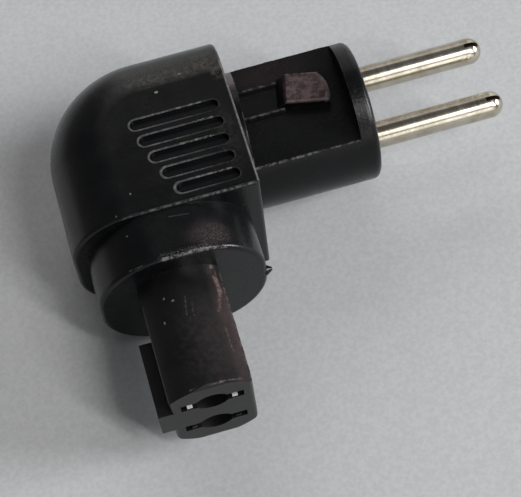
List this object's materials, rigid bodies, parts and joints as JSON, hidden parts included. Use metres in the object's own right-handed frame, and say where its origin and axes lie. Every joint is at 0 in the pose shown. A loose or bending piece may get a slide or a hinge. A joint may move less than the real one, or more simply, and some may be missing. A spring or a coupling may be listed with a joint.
{
  "type": "right-angle speaker plug",
  "caption": "Right-angle speaker plug adapter: soft ribbed elbow between a round plug with plated contact pins and a keyed, slotted socket stem",
  "frame": {"origin": "Centre of the plug's front face, midway between the two pins and midway through the elbow's thickness", "axes": "+X along the pins, the way the plug goes in; -Y along the socket stem, out of the elbow; +Z out of the upper grip flat, on the side of the polarising nub"},
  "size_m": [0.0403, 0.0331, 0.0142],
  "materials": {
    "soft_black": "satin moulded",
    "plug_black": "fine moulded",
    "plated_pin": "bright nickel plated",
    "socket_black": "fine moulded",
    "contact_sheet": "tinned",
    "copper": "bare",
    "insulation_red": "smooth",
    "insulation_black": "smooth"
  },
  "bodies": {
    "root": {"elbow_body": "soft_black", "pin_insert": "plug_black", "pin_far": "plated_pin", "pin_near": "plated_pin", "socket_insert": "socket_black", "socket_contact_upper": "contact_sheet", "socket_contact_lower": "contact_sheet", "wire_core_far": "copper", "wire_core_near": "copper", "wire_sleeve_far": "insulation_red", "wire_sleeve_near": "insulation_black"}
  },
  "joints": []
}
